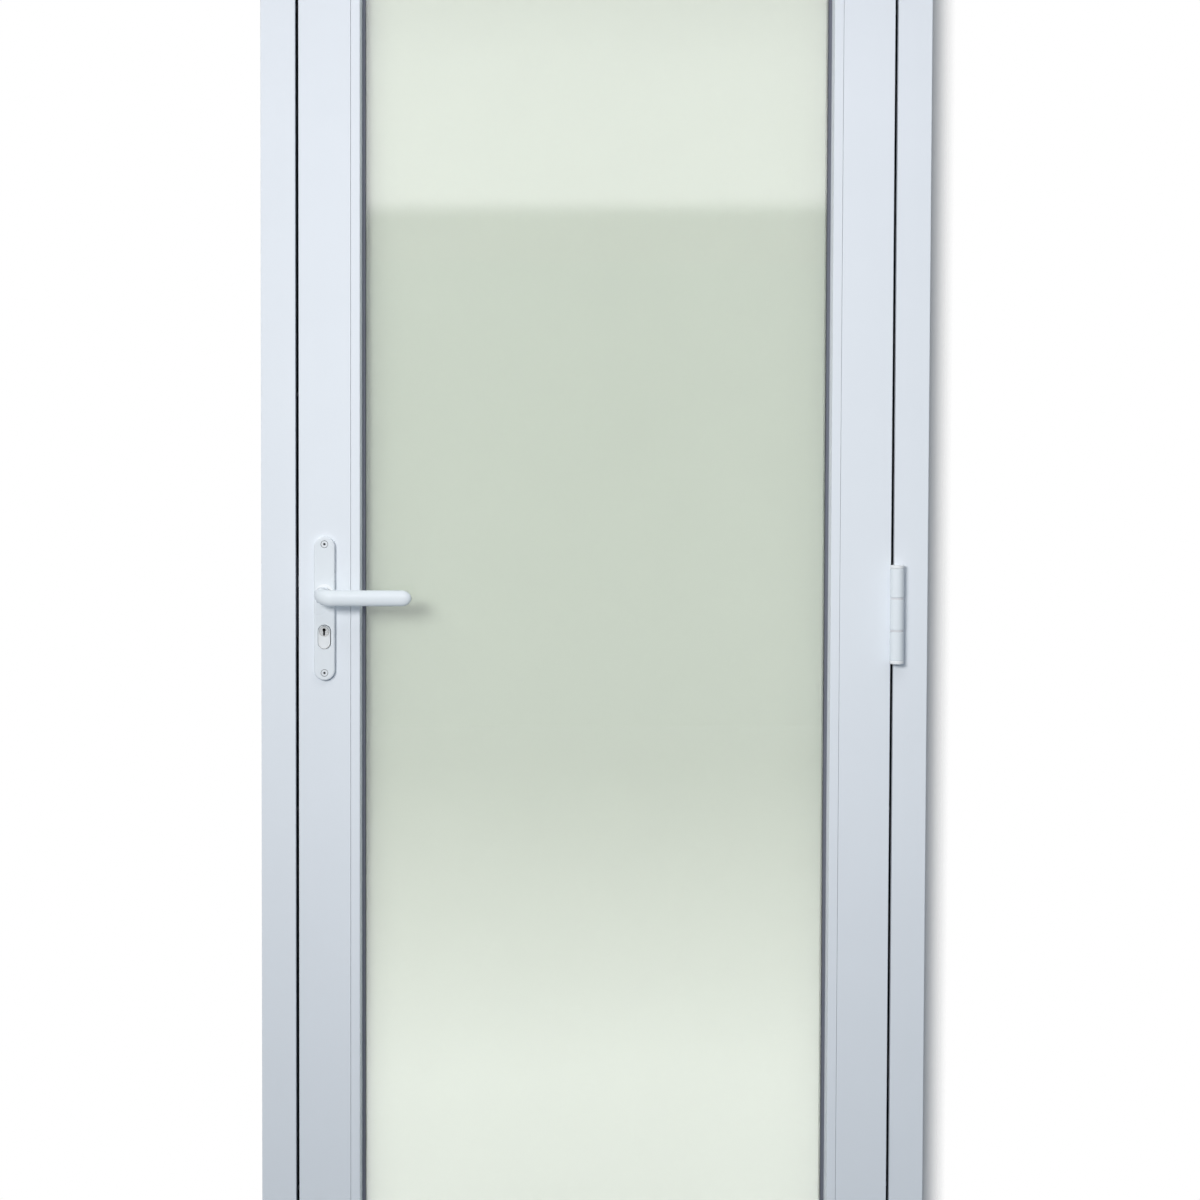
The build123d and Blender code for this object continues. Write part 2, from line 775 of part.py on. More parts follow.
# Glazing
bead_profile = bead_section()
for side in ("left", "right", "top", "bottom"):
    save(f"bead_{side}", bar(bead_profile, side, leaf_outline))
save("front_glazing_gasket", ring(gasket_section(bead_depth, glass_front), leaf_outline))
save("rear_glazing_gasket",
     ring(gasket_section(leaf_depth - glazing_lip_depth, glass_back), leaf_outline))
save("glass_front_pane", pane(glass_front))
save("glass_rear_pane", pane(glass_back - pane_thickness))
save("glass_spacer", ring(spacer_section(), leaf_outline))
save("glass_edge_seal", ring(edge_seal_section(), leaf_outline))

with BuildPart() as setting_blocks:
    for way in (-1, 1):
        with BuildSketch(front_plane(face_y + glass_back)):
            rect(way * block_offset - block_length / 2, leaf_bottom + tube_width,
                 way * block_offset + block_length / 2, leaf_bottom + glass_edge)
        extrude(amount=unit_thickness - block_clearance)
save("setting_blocks", setting_blocks)

# Hinges
for level, z in hinge_heights.items():
    leaf_half, inner, outer = hinge_stack(z)
    frame_wing = jamb_edge - wing_thickness
    for half, bottom in (("upper", z + inner), ("lower", z - outer)):
        save(f"hinge_{level}_frame_knuckle_{half}",
             knuckle(bottom, frame_knuckle_length, frame_wing, frame_wing, 1,
                     pin_radius + pin_fit))
    save(f"hinge_{level}_leaf_knuckle",
         knuckle(z - leaf_half, leaf_knuckle_length, half_leaf, half_leaf + wing_thickness, -1,
                 bush_radius + pin_fit))
    with BuildPart() as pin:
        with BuildSketch(Plane((hinge_x, hinge_y, z - outer))):
            Circle(pin_radius)
        extrude(amount=2 * outer)
    save(f"hinge_{level}_pin", pin)

with BuildPart() as hinge_caps:
    for z in hinge_heights.values():
        leaf_half, inner, outer = hinge_stack(z)
        for bottom in (z + outer, z - outer - cap_height):
            with BuildSketch(Plane((hinge_x, hinge_y, bottom))):
                Circle(barrel_radius + cap_overhang)
            extrude(amount=cap_height)
    fillet(hinge_caps.edges().filter_by(GeomType.CIRCLE), cap_round)
save("hinge_caps", hinge_caps)

with BuildPart() as hinge_bushes:
    for z in hinge_heights.values():
        leaf_half, inner, outer = hinge_stack(z)
        for way in (-1, 1):
            end = Plane((hinge_x, hinge_y, z + way * leaf_half), z_dir=(0, 0, way))
            with BuildSketch(end):
                Circle(bush_flange_radius)
            extrude(amount=bush_flange)
            with BuildSketch(end):
                Circle(bush_radius)
            extrude(amount=pin_radius - leaf_half)
            with BuildSketch(end):
                Circle(pin_radius + bush_fit)
            extrude(amount=leaf_half, both=True, mode=Mode.SUBTRACT)
save("hinge_bushes", hinge_bushes)

frame_hinge_places = [p for z in hinge_heights.values() for p in frame_screw_places(z)]
leaf_hinge_places = [p for z in hinge_heights.values() for p in leaf_screw_places(z)]
save("hinge_frame_screws", screw_set(frame_hinge_places, wing_screw_length))
save("hinge_leaf_screws", screw_set(leaf_hinge_places, wing_screw_length))

# Handle
front_handle_plate = handle_plate(True)
blind_plate = handle_plate(False)
with BuildPart() as rear_handle_plate:
    mirror(blind_plate.part, about=Plane.XZ)
save("front_handle_plate", front_handle_plate)
save("rear_handle_plate", rear_handle_plate)

plate_screw_places = [Plane((spindle_x, head_y, z), x_dir=(1, 0, 0), z_dir=(0, 1, 0))
                      for z in plate_screw_zs]
plate_screw_length = leaf_depth + 2 * plate_thickness - 2 * plate_screw_tip - plate_screw_sink
save("plate_screws", screw_set(plate_screw_places, plate_screw_length, plate_screw_socket_radius))

with BuildPart() as lever_bushes:
    with BuildSketch(front_plane(face_y)):
        with Locations((spindle_x, spindle_height)):
            Circle(lever_bush_radius)
    extrude(amount=plate_thickness)
    with BuildSketch(front_plane(plate_y)):
        with Locations((spindle_x, spindle_height)):
            Circle(lever_bush_radius + collar_overhang)
    extrude(amount=collar_thickness)
    with BuildSketch(front_plane(face_y)):
        with Locations((spindle_x, spindle_height)):
            Circle(neck_radius + bush_bore_fit)
    extrude(amount=plate_thickness + collar_thickness, mode=Mode.SUBTRACT)
    mirror(about=Plane.XZ)
save("lever_bushes", lever_bushes)

front_lever = lever()
with BuildPart() as rear_lever:
    mirror(front_lever.part, about=Plane.XZ)
save("front_lever", front_lever)
save("rear_lever", rear_lever)

half_spindle = spindle_end - face_y + neck_root - spindle_fit
with BuildPart() as spindle:
    with BuildSketch(front_plane(half_spindle)):
        with Locations((spindle_x, spindle_height)):
            Rectangle(spindle_size, spindle_size)
    extrude(amount=2 * half_spindle)
save("spindle", spindle)

grub_top = spindle_height - spindle_size / 2
with BuildPart() as lever_grub_screws:
    for way in (-1, 1):
        with Locations((spindle_x, way * (grub_distance - plate_y), grub_top)):
            Cylinder(grub_radius, neck_radius - spindle_size / 2 - grub_recess,
                     align=(Align.CENTER, Align.CENTER, Align.MAX))
save("lever_grub_screws", lever_grub_screws)

# Lock
with BuildPart() as follower:
    with BuildSketch(front_plane(hub_width / 2)):
        with Locations((spindle_x, spindle_height)):
            Circle(hub_radius)
    extrude(amount=hub_width)
    with BuildSketch(front_plane(case_thickness / 2)):
        with Locations((spindle_x, spindle_height)):
            Circle(trunnion_radius)
    extrude(amount=case_thickness)
    with BuildSketch(front_plane(arm_thickness / 2)):
        rect(spindle_x - arm_width / 2, spindle_height, spindle_x + arm_width / 2,
             spindle_height + arm_length)
    extrude(amount=arm_thickness)
    with BuildSketch(front_plane(case_thickness / 2)):
        with Locations((spindle_x, spindle_height)):
            Rectangle(spindle_size + 2 * spindle_fit, spindle_size + 2 * spindle_fit)
    extrude(amount=case_thickness, mode=Mode.SUBTRACT)
save("follower", follower)

with BuildPart() as latch_bolt:
    tail_top = latch_z + latch_height / 2
    tail_bottom = latch_z - latch_height / 2 + latch_tail_rise
    nose_x = edge_x - latch_throw
    with BuildSketch(Plane((0, 0, latch_z - latch_height / 2))):
        Polygon((edge_x + latch_head_length, -latch_thickness / 2), (nose_x, -latch_thickness / 2),
                (nose_x, latch_nose - latch_thickness / 2), (edge_x, latch_thickness / 2),
                (edge_x + latch_head_length, latch_thickness / 2), align=None)
    extrude(amount=latch_height)
    with BuildSketch(front_plane(latch_tail_thickness / 2)):
        rect(edge_x + latch_head_length, tail_bottom, spindle_x + latch_tail_end, tail_top)
        rect(spindle_x - latch_notch_back, tail_bottom, spindle_x + latch_notch_push,
             spindle_height + arm_length + latch_notch_top, Mode.SUBTRACT)
    extrude(amount=latch_tail_thickness)
save("latch_bolt", latch_bolt)

with BuildPart() as deadbolt:
    with BuildSketch(front_plane(deadbolt_thickness / 2)):
        with Locations((edge_x + deadbolt_setback + deadbolt_length / 2, deadbolt_z)):
            Rectangle(deadbolt_length, deadbolt_height)
    extrude(amount=deadbolt_thickness)
    chamfer(deadbolt.faces().sort_by(Axis.X)[0].edges(), deadbolt_round)
save("deadbolt", deadbolt)

flange_places = [Plane((edge_x, 0, faceplate_z + way * (faceplate_length / 2 - faceplate_screw_inset)),
                       x_dir=(0, 1, 0), z_dir=(1, 0, 0)) for way in (-1, 1)]
cylinder_screw_place = Plane((edge_x, 0, cylinder_screw_z), x_dir=(0, 1, 0), z_dir=(1, 0, 0))
cylinder_screw_length = backset + cylinder_screw_bite


def bolt_openings():
    """Cut the two bolt openings through a plate on the leaf's edge, from the sketch plane on."""
    for middle, tall, thick in bolt_pockets:
        with Locations((0, middle)):
            Rectangle(thick + 2 * moving_clearance, tall + 2 * moving_clearance)


with BuildPart() as lock_case:
    with BuildSketch(front_plane(case_thickness / 2 - case_wall)):
        rect(case_x, case_bottom, case_end, case_top)
    extrude(amount=case_thickness - case_wall)
    with BuildSketch(front_plane(case_thickness / 2 - case_wall)):
        rect(case_x + case_wall, case_bottom + case_wall, case_end - case_wall, case_top - case_wall)
    extrude(amount=case_thickness - 2 * case_wall, mode=Mode.SUBTRACT)
    with BuildSketch(edge_plane(flange_x)):
        with Locations((0, faceplate_z)):
            Rectangle(flange_width, faceplate_length + 2 * flange_overlap)
    extrude(amount=flange_thickness)
    with BuildSketch(edge_plane(flange_x)):
        bolt_openings()
    extrude(amount=flange_thickness + case_wall, mode=Mode.SUBTRACT)
    with BuildSketch(front_plane(0)):
        with Locations((spindle_x, spindle_height)):
            Circle(trunnion_radius + trunnion_fit)
        with Locations((spindle_x, cylinder_z)):
            SlotOverall(cylinder_tall + 2 * moving_clearance, cylinder_width + 2 * moving_clearance,
                        rotation=90)
    extrude(amount=case_thickness, mode=Mode.SUBTRACT)
    for place in flange_places:
        screw_hole(place, lock_screw_length)
    screw_hole(cylinder_screw_place, backset)
save("lock_case", lock_case)

with BuildPart() as lock_case_cover:
    with BuildSketch(front_plane(case_thickness / 2)):
        rect(case_x, case_bottom, case_end, case_top)
        with Locations((spindle_x, spindle_height)):
            Circle(trunnion_radius + trunnion_fit, mode=Mode.SUBTRACT)
        with Locations((spindle_x, cylinder_z)):
            SlotOverall(cylinder_tall + 2 * moving_clearance, cylinder_width + 2 * moving_clearance,
                        rotation=90, mode=Mode.SUBTRACT)
    extrude(amount=case_wall)
save("lock_case_cover", lock_case_cover)

with BuildPart() as lock_faceplate:
    with BuildSketch(edge_plane(edge_x)):
        with Locations((0, faceplate_z)):
            Rectangle(faceplate_width, faceplate_length)
    extrude(amount=profile_wall)
    with BuildSketch(edge_plane(edge_x)):
        bolt_openings()
    extrude(amount=profile_wall, mode=Mode.SUBTRACT)
    for place in flange_places:
        screw_hole(place, lock_screw_length)
    screw_hole(cylinder_screw_place, cylinder_screw_length)
save("lock_faceplate", lock_faceplate)
save("faceplate_screws", screw_set(flange_places, lock_screw_length))
save("cylinder_screw", screw_set([cylinder_screw_place], cylinder_screw_length))

# Cylinder
half_cylinder = plate_thickness + cylinder_stand_out - face_y
half_cam = cam_thickness / 2
cam_slot_bottom = plug_z - cam_radius - cam_gap
with BuildPart() as cylinder_body:
    with BuildSketch(front_plane(half_cylinder)):
        with Locations((spindle_x, cylinder_z)):
            SlotOverall(cylinder_tall, cylinder_width, rotation=90)
    extrude(amount=2 * half_cylinder)
    chamfer(cylinder_body.faces().sort_by(Axis.Y)[0].edges(), cylinder_round)
    chamfer(cylinder_body.faces().sort_by(Axis.Y)[-1].edges(), cylinder_round)
    for way in (-1, 1):
        bore_mouth = Plane((spindle_x, way * half_cylinder, plug_z), x_dir=(1, 0, 0),
                           z_dir=(0, -way, 0))
        countersunk(bore_mouth, plug_radius + plug_fit, plug_radius + plug_fit + plug_round,
                    half_cylinder, Mode.SUBTRACT)
    with BuildSketch(front_plane(half_cam + cam_play)):
        rect(spindle_x - cylinder_width, cam_slot_bottom, spindle_x + cylinder_width,
             plug_z + cylinder_width)
    extrude(amount=cam_thickness + 2 * cam_play, mode=Mode.SUBTRACT)
    with Locations(cylinder_screw_place):
        Cylinder(screw_radius + screw_clearance, cylinder_screw_length,
                 align=(Align.CENTER, Align.CENTER, Align.MIN), mode=Mode.SUBTRACT)
save("cylinder_body", cylinder_body)

plug_end = half_cylinder + plug_stand_out
save("outer_key_plug", key_plug(-plug_end, -half_cam, "front"))
save("inner_key_plug", key_plug(half_cam + cam_play, plug_end, "back"))

with BuildPart() as cylinder_cam:
    with BuildSketch(front_plane(half_cam)):
        with Locations((spindle_x, plug_z)):
            Circle(plug_radius)
        rect(spindle_x - cam_width / 2, plug_z - cam_radius, spindle_x + cam_width / 2, plug_z)
        with Locations((spindle_x, plug_z)):
            Circle(cam_radius, mode=Mode.INTERSECT)
    extrude(amount=cam_thickness)
save("cylinder_cam", cylinder_cam)
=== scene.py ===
import json
from math import radians

import bpy
from mathutils import Matrix, Vector

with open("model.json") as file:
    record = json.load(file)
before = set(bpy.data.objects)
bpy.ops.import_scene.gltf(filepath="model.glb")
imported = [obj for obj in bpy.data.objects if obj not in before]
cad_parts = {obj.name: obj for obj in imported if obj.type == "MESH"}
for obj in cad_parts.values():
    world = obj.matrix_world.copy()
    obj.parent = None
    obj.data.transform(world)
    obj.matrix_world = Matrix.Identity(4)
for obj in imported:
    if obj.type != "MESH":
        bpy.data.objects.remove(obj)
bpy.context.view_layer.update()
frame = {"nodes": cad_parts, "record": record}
bpy.ops.object.select_all(action="DESELECT")
scene = bpy.context.scene
scene.view_settings.view_transform = "Standard"

# Places shared with the door, in metres
half_frame = 0.475
frame_top = 2.2
half_leaf = 0.422
leaf_bottom = 0.025
leaf_slack = 0.0005
wall_y = 0.052

# The gap between leaf and frame, and where its strip of painted shade starts
gap_x = 0.42425
gap_z = 2.14925
strip_front = -0.016
facing_limit = 0.7

# The front handle plate, its two screws and the cylinder's slot, whose hollows get painted shade
screw_x = -0.385
screw_mid_z = 1.093
screw_rise = 0.0913
screw_head_y = -0.0324
screw_head_skin = 0.0003
recess_radius = 0.0056
groove_mid_y = screw_head_y + 0.003
groove_half_depth = 0.0028
cylinder_mid_z = 1.053
slot_half_width = 0.0096
slot_half_height = 0.0177
plug_face = 0.037
plug_skin = 0.0008

# Bands in which the noises have most of their values
noise_band = (0.3, 0.7)
line_band = (0.25, 0.75)
speck_band = (0.35, 0.7)

# Heights of the bumps, in metres
coat_depth = 0.0004
brush_depth = 0.0002
skin_depth = 0.0003
wave_depth = 0.001

# Colours and shares that several finishes use
white = (1.0, 1.0, 1.0)
light_dust = (0.42, 0.40, 0.37)
dark_dust = (0.3, 0.28, 0.25)
coat_dust_share = 0.22
metal_dust_share = 0.3
moulded_dust_share = 0.2
metal_dust_reach = 0.12
mitre_colour = (0.16, 0.17, 0.19)
# Painted shade for the gap between leaf and frame
gap_shade_colour = (0.014, 0.019, 0.034)
keyhole_rough = 0.3
glass_ior = 1.52


# Node helpers
def node(tree, kind, **values):
    """Adds a node and sets its plain inputs and settings."""
    made = tree.nodes.new(kind)
    for name, value in values.items():
        if hasattr(made, name):
            setattr(made, name, value)
        else:
            made.inputs[name.replace("_", " ")].default_value = value
    return made


def join(tree, source, target):
    tree.links.new(source, target)


def math_node(tree, operation, first, second=None, third=None, clamp=False):
    """Adds a math node. Each value is a plain number or a socket."""
    made = tree.nodes.new("ShaderNodeMath")
    made.operation = operation
    made.use_clamp = clamp
    for socket, value in zip(made.inputs, (first, second, third)):
        if value is None:
            continue
        if isinstance(value, (int, float)):
            socket.default_value = value
        else:
            join(tree, value, socket)
    return made.outputs[0]


def opaque(colour):
    return (*colour, 1.0)


def blend(tree, factor, low, high):
    """Mixes two colours, each a plain colour or a socket, by a factor socket."""
    made = tree.nodes.new("ShaderNodeMix")
    made.data_type = "RGBA"
    join(tree, factor, made.inputs[0])
    for socket, value in ((made.inputs[6], low), (made.inputs[7], high)):
        if isinstance(value, tuple):
            socket.default_value = opaque(value)
        else:
            join(tree, value, socket)
    return made.outputs[2]


def spread(tree, value, low, high, start, end):
    """Maps a value from start and end to low and high."""
    made = tree.nodes.new("ShaderNodeMapRange")
    join(tree, value, made.inputs["Value"])
    made.inputs["From Min"].default_value = start
    made.inputs["From Max"].default_value = end
    made.inputs["To Min"].default_value = low
    made.inputs["To Max"].default_value = high
    return made.outputs[0]


def from_noise(tree, noise, low=0.0, high=1.0):
    """Maps the middle band of a noise to low and high."""
    return spread(tree, noise, low, high, *noise_band)


def split(tree, vector):
    """Returns the X, Y and Z sockets of a vector."""
    made = node(tree, "ShaderNodeSeparateXYZ")
    join(tree, vector, made.inputs[0])
    return made.outputs["X"], made.outputs["Y"], made.outputs["Z"]


def object_place(tree):
    return tree.nodes.new("ShaderNodeTexCoord").outputs["Object"]


def mix_shaders(tree, factor, first, second):
    made = node(tree, "ShaderNodeMixShader")
    join(tree, factor, made.inputs[0])
    join(tree, first.outputs[0], made.inputs[1])
    join(tree, second.outputs[0], made.inputs[2])
    return made.outputs[0]


def add_shaders(tree, first, second):
    made = node(tree, "ShaderNodeAddShader")
    join(tree, first.outputs[0], made.inputs[0])
    join(tree, second.outputs[0], made.inputs[1])
    return made


def start_group(name, inputs, outputs):
    """Starts a shader group and returns its tree, input node and output node."""
    group = bpy.data.node_groups.new(name, "ShaderNodeTree")
    for label, kind, value in inputs:
        socket = group.interface.new_socket(label, in_out="INPUT", socket_type=kind)
        if value is not None:
            socket.default_value = value
    for label in outputs:
        group.interface.new_socket(label, in_out="OUTPUT", socket_type="NodeSocketFloat")
    return group, group.nodes.new("NodeGroupInput"), group.nodes.new("NodeGroupOutput")


def place_group(tree, group, place, **values):
    """Places a group in a material, with its own values."""
    made = tree.nodes.new("ShaderNodeGroup")
    made.node_tree = group
    join(tree, place, made.inputs["Place"])
    for name, value in values.items():
        made.inputs[name.replace("_", " ")].default_value = value
    return made


def start_material(name):
    """Starts a material and returns it with its tree, shader and object coordinates."""
    material = bpy.data.materials.new(name)
    material.use_nodes = True
    tree = material.node_tree
    return material, tree, tree.nodes["Principled BSDF"], object_place(tree)


def bump(tree, shader, height, strength, distance):
    made = node(tree, "ShaderNodeBump", Strength=strength, Distance=distance)
    join(tree, height, made.inputs["Height"])
    join(tree, made.outputs["Normal"], shader.inputs["Normal"])


# Effects that several finishes share
def coat_skin_group():
    """The fine peel of a sprayed coat, and a slow cloud of tone."""
    group, given, out = start_group(
        "coat skin",
        [("Place", "NodeSocketVector", None), ("Peel Scale", "NodeSocketFloat", 700.0),
         ("Cloud Scale", "NodeSocketFloat", 4.0)],
        ["Peel", "Cloud"])
    peel = node(group, "ShaderNodeTexNoise", Detail=1.5, Roughness=0.55)
    cloud = node(group, "ShaderNodeTexNoise", Detail=4.0, Roughness=0.6)
    for texture, scale, label in ((peel, "Peel Scale", "Peel"), (cloud, "Cloud Scale", "Cloud")):
        join(group, given.outputs["Place"], texture.inputs["Vector"])
        join(group, given.outputs[scale], texture.inputs["Scale"])
        join(group, texture.outputs[0], out.inputs[label])
    return group


def floor_dust_group():
    """A thin broken film of dust that fades out above the floor."""
    group, given, out = start_group(
        "floor dust",
        [("Place", "NodeSocketVector", None), ("Reach", "NodeSocketFloat", 0.3)],
        ["Dust"])
    height = split(group, given.outputs["Place"])[2]
    share = math_node(group, "DIVIDE", height, given.outputs["Reach"])
    low = math_node(group, "SUBTRACT", 1.0, share, clamp=True)
    low = math_node(group, "POWER", low, 2.0)
    specks = node(group, "ShaderNodeTexNoise", Scale=45.0, Detail=6.0, Roughness=0.65)
    join(group, given.outputs["Place"], specks.inputs["Vector"])
    broken = spread(group, specks.outputs[0], 0.0, 1.0, *speck_band)
    join(group, math_node(group, "MULTIPLY", low, broken), out.inputs["Dust"])
    return group


def brushed_group():
    """Long fine lines that run along X, Y or Z by the stretch given."""
    group, given, out = start_group(
        "brushed lines",
        [("Place", "NodeSocketVector", None), ("Stretch", "NodeSocketVector", (20.0, 900.0, 900.0))],
        ["Lines", "Streaks"])
    drawn = node(group, "ShaderNodeVectorMath", operation="MULTIPLY")
    join(group, given.outputs["Place"], drawn.inputs[0])
    join(group, given.outputs["Stretch"], drawn.inputs[1])
    lines = node(group, "ShaderNodeTexNoise", Scale=1.0, Detail=3.0, Roughness=0.7)
    streaks = node(group, "ShaderNodeTexNoise", Scale=0.12, Detail=2.0, Roughness=0.5)
    for texture, label in ((lines, "Lines"), (streaks, "Streaks")):
        join(group, drawn.outputs[0], texture.inputs["Vector"])
        join(group, texture.outputs[0], out.inputs[label])
    return group


def mitre_group():
    """The hairline where two mitred bars meet, at the top and bottom corners."""
    group, given, out = start_group(
        "mitre line",
        [("Place", "NodeSocketVector", None), ("Half Width", "NodeSocketFloat", 0.00018)],
        ["Line"])
    across, _, height = split(group, given.outputs["Place"])
    side = math_node(group, "ABSOLUTE", across)
    falling = math_node(group, "SUBTRACT", side, height)
    rising = math_node(group, "ADD", side, height)
    on_line = []
    for value, middle in ((falling, half_frame - frame_top), (rising, half_leaf + leaf_bottom)):
        away = math_node(group, "ABSOLUTE", math_node(group, "SUBTRACT", value, middle))
        on_line.append(math_node(group, "LESS_THAN", away, given.outputs["Half Width"]))
    in_leaf = math_node(group, "LESS_THAN", side, half_leaf + leaf_slack)
    low_line = math_node(group, "MULTIPLY", on_line[1], in_leaf)
    join(group, math_node(group, "MAXIMUM", on_line[0], low_line), out.inputs["Line"])
    return group


def rebate_shade_group():
    """Painted shade: a near-black strip on the edges of leaf and frame, inside the gap between them."""
    group, given, out = start_group(
        "rebate shade strip",
        [("Place", "NodeSocketVector", None), ("Facing", "NodeSocketVector", None),
         ("Half Gap", "NodeSocketFloat", 0.0026)],
        ["Strip"])
    across, depth, height = split(group, given.outputs["Place"])
    facing_across, _, facing_up = split(group, given.outputs["Facing"])
    side = math_node(group, "ABSOLUTE", across)
    in_gap = []
    for value, middle, facing in ((side, gap_x, facing_across), (height, gap_z, facing_up)):
        turned = math_node(group, "GREATER_THAN", math_node(group, "ABSOLUTE", facing), facing_limit)
        near = math_node(group, "COMPARE", value, middle, given.outputs["Half Gap"])
        in_gap.append(math_node(group, "MULTIPLY", near, turned))
    deep = math_node(group, "GREATER_THAN", depth, strip_front)
    strip = math_node(group, "MULTIPLY", deep, math_node(group, "MAXIMUM", *in_gap))
    join(group, strip, out.inputs["Strip"])
    return group


coat_skin = coat_skin_group()
floor_dust = floor_dust_group()
brushed_lines = brushed_group()
mitre_line = mitre_group()
rebate_shade = rebate_shade_group()


# Finishes
def dust_film(tree, place, share, **values):
    """How much dust covers a finish, from 0 to its share."""
    dust = place_group(tree, floor_dust, place, **values)
    return math_node(tree, "MULTIPLY", dust.outputs["Dust"], share)


def white_coat(name, light, dark, rough_low, rough_high, peel_strength, jointed):
    """Sprayed white coat. On jointed bars it has mitre hairlines, painted shade in the gap along the
    rebate and a little dust.
    """
    material, tree, shader, place = start_material(name)
    skin = place_group(tree, coat_skin, place)
    colour = blend(tree, from_noise(tree, skin.outputs["Cloud"]), light, dark)
    rough = from_noise(tree, skin.outputs["Cloud"], rough_low, rough_high)
    if jointed:
        film = dust_film(tree, place, coat_dust_share)
        colour = blend(tree, film, colour, light_dust)
        rough = math_node(tree, "ADD", rough, film)
        line = place_group(tree, mitre_line, place)
        colour = blend(tree, line.outputs["Line"], colour, mitre_colour)
        # Painted shade: near-black on the edges inside the gap between leaf and frame
        strip = place_group(tree, rebate_shade, place)
        join(tree, place.node.outputs["Normal"], strip.inputs["Facing"])
        colour = blend(tree, strip.outputs["Strip"], colour, gap_shade_colour)
    join(tree, colour, shader.inputs["Base Color"])
    join(tree, rough, shader.inputs["Roughness"])
    bump(tree, shader, skin.outputs["Peel"], peel_strength, coat_depth)
    return material


def plate_grooves(tree, place):
    """1 in the front plate's screw recesses and in its slot for the cylinder, where the plate coat gets
    painted shade.
    """
    across, depth, height = split(tree, place)
    aside = math_node(tree, "SUBTRACT", across, screw_x)
    above = math_node(tree, "ABSOLUTE", math_node(tree, "SUBTRACT", height, screw_mid_z))
    above = math_node(tree, "SUBTRACT", above, screw_rise)
    away = math_node(tree, "ADD", math_node(tree, "MULTIPLY", aside, aside),
                     math_node(tree, "MULTIPLY", above, above))
    in_recess = math_node(tree, "LESS_THAN", math_node(tree, "SQRT", away), recess_radius)
    beside = math_node(tree, "LESS_THAN", math_node(tree, "ABSOLUTE", aside), slot_half_width)
    level = math_node(tree, "COMPARE", height, cylinder_mid_z, slot_half_height)
    in_slot = math_node(tree, "MULTIPLY", beside, level)
    deep = math_node(tree, "COMPARE", depth, groove_mid_y, groove_half_depth)
    return math_node(tree, "MULTIPLY", math_node(tree, "MAXIMUM", in_recess, in_slot), deep)


def screw_sockets(tree, place):
    """1 behind the front face of a plate screw's head, where the screw lacquer gets painted shade in its
    socket.
    """
    return math_node(tree, "GREATER_THAN", split(tree, place)[1], screw_head_y + screw_head_skin)


def recess_shade_coat(name, light, dark, painted_shade, rough_low, rough_high, peel_strength, find_painted_shade):
    """Sprayed white coat with painted shade: a dark colour where the mask gives 1."""
    material, tree, shader, place = start_material(name)
    skin = place_group(tree, coat_skin, place)
    colour = blend(tree, from_noise(tree, skin.outputs["Cloud"]), light, dark)
    join(tree, blend(tree, find_painted_shade(tree, place), colour, painted_shade), shader.inputs["Base Color"])
    rough = from_noise(tree, skin.outputs["Cloud"], rough_low, rough_high)
    join(tree, rough, shader.inputs["Roughness"])
    bump(tree, shader, skin.outputs["Peel"], peel_strength, coat_depth)
    return material


def brushed_metal(name, light, dark, rough_low, rough_high, stretch):
    """Metal with long brushed lines."""
    material, tree, shader, place = start_material(name)
    shader.inputs["Metallic"].default_value = 1.0
    grain = place_group(tree, brushed_lines, place, Stretch=stretch)
    streaked = blend(tree, from_noise(tree, grain.outputs["Streaks"]), light, dark)
    film = dust_film(tree, place, metal_dust_share, Reach=metal_dust_reach)
    join(tree, blend(tree, film, streaked, dark_dust), shader.inputs["Base Color"])
    rough = spread(tree, grain.outputs["Lines"], rough_low, rough_high, *line_band)
    join(tree, math_node(tree, "ADD", rough, film), shader.inputs["Roughness"])
    bump(tree, shader, grain.outputs["Lines"], 0.08, brush_depth)
    return material


def plug_metal(name, light, dark, painted_shade):
    """Turned metal of a key plug, with painted shade inside its keyhole: dark, not metallic and rougher
    there.
    """
    material, tree, shader, place = start_material(name)
    grain = place_group(tree, brushed_lines, place, Stretch=(900.0, 60.0, 900.0))
    depth = math_node(tree, "ABSOLUTE", split(tree, place)[1])
    inside = math_node(tree, "LESS_THAN", depth, plug_face - plug_skin)
    colour = blend(tree, from_noise(tree, grain.outputs["Streaks"]), light, dark)
    join(tree, blend(tree, inside, colour, painted_shade), shader.inputs["Base Color"])
    join(tree, math_node(tree, "SUBTRACT", 1.0, inside), shader.inputs["Metallic"])
    rough = spread(tree, grain.outputs["Lines"], 0.22, 0.32, *line_band)
    rough = math_node(tree, "MULTIPLY_ADD", inside, keyhole_rough, rough)
    join(tree, rough, shader.inputs["Roughness"])
    bump(tree, shader, grain.outputs["Lines"], 0.06, brush_depth)
    return material


def moulded(name, light, dark, rough_low, rough_high, peel_scale, strength):
    """Moulded rubber or plastic with a fine skin."""
    material, tree, shader, place = start_material(name)
    skin = place_group(tree, coat_skin, place, Peel_Scale=peel_scale, Cloud_Scale=9.0)
    clouded = blend(tree, from_noise(tree, skin.outputs["Cloud"]), light, dark)
    film = dust_film(tree, place, moulded_dust_share)
    join(tree, blend(tree, film, clouded, dark_dust), shader.inputs["Base Color"])
    rough = from_noise(tree, skin.outputs["Cloud"], rough_low, rough_high)
    join(tree, rough, shader.inputs["Roughness"])
    bump(tree, shader, skin.outputs["Peel"], strength, skin_depth)
    return material


